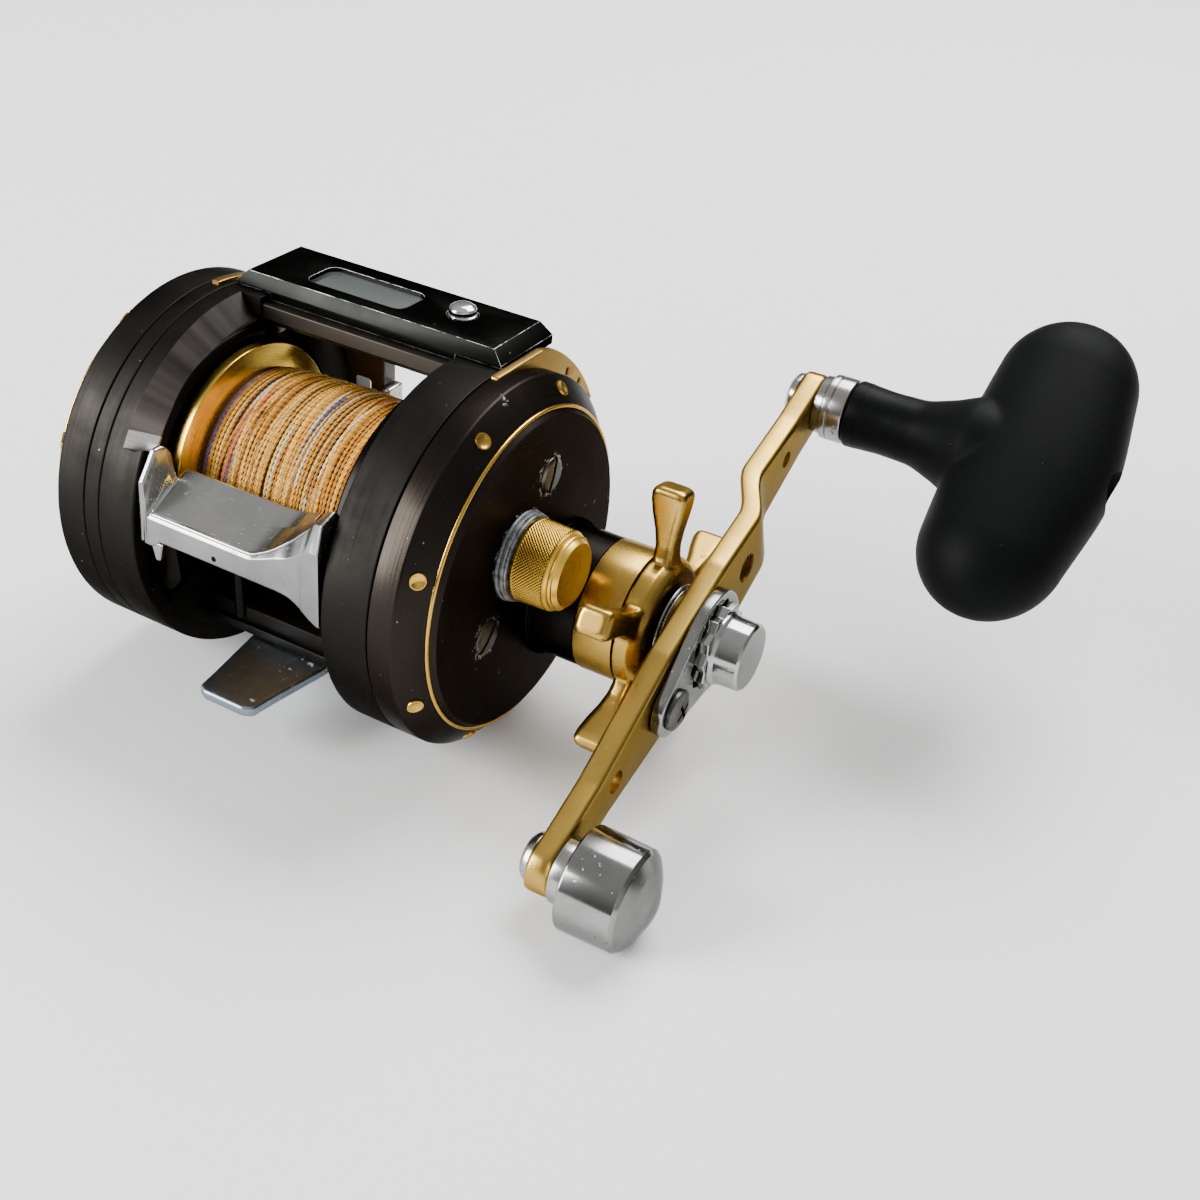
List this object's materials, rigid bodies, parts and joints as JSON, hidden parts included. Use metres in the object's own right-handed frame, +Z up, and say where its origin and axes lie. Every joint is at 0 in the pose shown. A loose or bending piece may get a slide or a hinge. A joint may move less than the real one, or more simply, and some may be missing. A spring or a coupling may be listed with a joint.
{
  "type": "baitcasting fishing reel",
  "caption": "Round baitcasting fishing reel with a power handle, star drag, thumb-bar spool release, level wind and a digital line counter on top.",
  "frame": {"origin": "in the plane of the bottom face of the foot, under the middle of the frame", "axes": "+X along the spool axis towards the handle, +Y towards the line exit, +Z up from the rod seat"},
  "size_m": [0.1246, 0.106, 0.0579],
  "materials": {
    "anodised_black": "satin black anodised aluminium",
    "anodised_gold": "gold anodised, satin",
    "chrome": "polished chrome plate",
    "steel": "machined steel",
    "brass": "machined brass",
    "soft_black": "soft-touch black",
    "black_plastic": "moulded matt black",
    "white_plastic": "moulded off-white",
    "display": "clear display panel",
    "braid": "braided line"
  },
  "bodies": {
    "frame": {"frame": "anodised_black", "left_spacer_ring": "anodised_black", "left_cover": "anodised_black", "right_cover": "anodised_black", "left_trim_ring": "anodised_gold", "right_trim_ring": "anodised_gold", "left_bracket": "anodised_gold", "right_bracket": "anodised_gold", "face_screw_upper": "brass", "face_screw_lower": "brass", "counter_housing": "anodised_black", "counter_window": "display", "counter_board": "black_plastic", "counter_battery": "steel", "reel_foot": "chrome", "foot_screw_front": "steel", "foot_screw_rear": "steel", "spool_bearing_left": "steel", "spool_bearing_middle": "steel", "spool_bearing_right": "steel", "brake_drum": "brass", "anti_reverse_bearing": "steel", "bearing_housing": "anodised_black", "cap_collar": "anodised_black", "worm_guard": "steel", "guide_rod": "steel"},
    "spool": {"spool": "anodised_gold", "line_pack": "braid", "spool_shaft": "steel", "brake_hub": "white_plastic"},
    "handle": {"drive_shaft": "steel", "drive_gear": "brass", "drag_washers": "black_plastic", "ratchet": "steel", "wind_drive_gear": "white_plastic", "roller_sleeve": "steel", "drag_sleeve": "anodised_gold", "spring_washers": "steel", "handle_arm": "anodised_gold", "nut_retainer": "chrome", "retainer_screw": "steel", "handle_nut": "chrome", "knob_collar": "steel", "knob_spindle": "steel", "knob_screw": "steel", "counterweight_pin": "steel", "counterweight_spacer": "steel", "counterweight": "chrome"},
    "star": {"star_drag": "anodised_gold"},
    "knob": {"knob": "soft_black"},
    "yoke": {"clutch_yoke": "steel"},
    "pinion": {"pinion_gear": "brass"},
    "cast_cap": {"cast_control_cap": "anodised_gold"},
    "thumb_bar": {"thumb_bar": "chrome"},
    "worm": {"worm_shaft": "steel", "worm_gear": "white_plastic"},
    "line_guide": {"line_guide": "black_plastic", "guide_pawl": "brass"},
    "button": {"counter_button": "chrome"}
  },
  "joints": [
    {"name": "handle_turn", "type": "hinge", "parent": "frame", "child": "handle", "pos_m": [0.04, 0.00862, 0.01329], "axis": [1, 0, 0], "continuous": true},
    {"name": "spool_spin", "type": "hinge", "parent": "frame", "child": "spool", "pos_m": [0, -0.0029, 0.0241], "axis": [1, 0, 0], "continuous": true},
    {"name": "worm_spin", "type": "hinge", "parent": "frame", "child": "worm", "pos_m": [0, 0.0185, 0.0195], "axis": [1, 0, 0], "continuous": true},
    {"name": "knob_spin", "type": "hinge", "parent": "handle", "child": "knob", "pos_m": [0.07, 0.05071, 0.03083], "axis": [1, 0, 0], "continuous": true},
    {"name": "star_drag_turn", "type": "hinge", "parent": "handle", "child": "star", "pos_m": [0.045, 0.00862, 0.01329], "axis": [1, 0, 0], "range_deg": [-180, 180]},
    {"name": "cast_cap_turn", "type": "hinge", "parent": "frame", "child": "cast_cap", "pos_m": [0.034, -0.0029, 0.0241], "axis": [1, 0, 0], "range_deg": [-180, 180]},
    {"name": "thumb_press", "type": "slide", "parent": "frame", "child": "thumb_bar", "axis": [0, 0, -1], "range_m": [0, 0.004], "stiffness_N_per_m": 400, "springref_m": -0.0015},
    {"name": "yoke_slide", "type": "slide", "parent": "frame", "child": "yoke", "axis": [1, 0, 0], "range_m": [0, 0.0008]},
    {"name": "pinion_spin", "type": "hinge", "parent": "yoke", "child": "pinion", "pos_m": [0.025, -0.0029, 0.0241], "axis": [1, 0, 0], "continuous": true},
    {"name": "line_guide_slide", "type": "slide", "parent": "frame", "child": "line_guide", "axis": [1, 0, 0], "range_m": [-0.0018, 0.0174]},
    {"name": "button_press", "type": "slide", "parent": "frame", "child": "button", "axis": [0, 0, -1], "range_m": [0, 0.0005], "stiffness_N_per_m": 300, "springref_m": -0.0006}
  ],
  "couplings": [
    {"joint": "spool_spin", "follows": "handle_turn", "ratio": -4.9167},
    {"joint": "pinion_spin", "follows": "handle_turn", "ratio": -4.9167},
    {"joint": "worm_spin", "follows": "handle_turn", "ratio": -1.6},
    {"joint": "yoke_slide", "follows": "thumb_press", "ratio": 0.2}
  ]
}
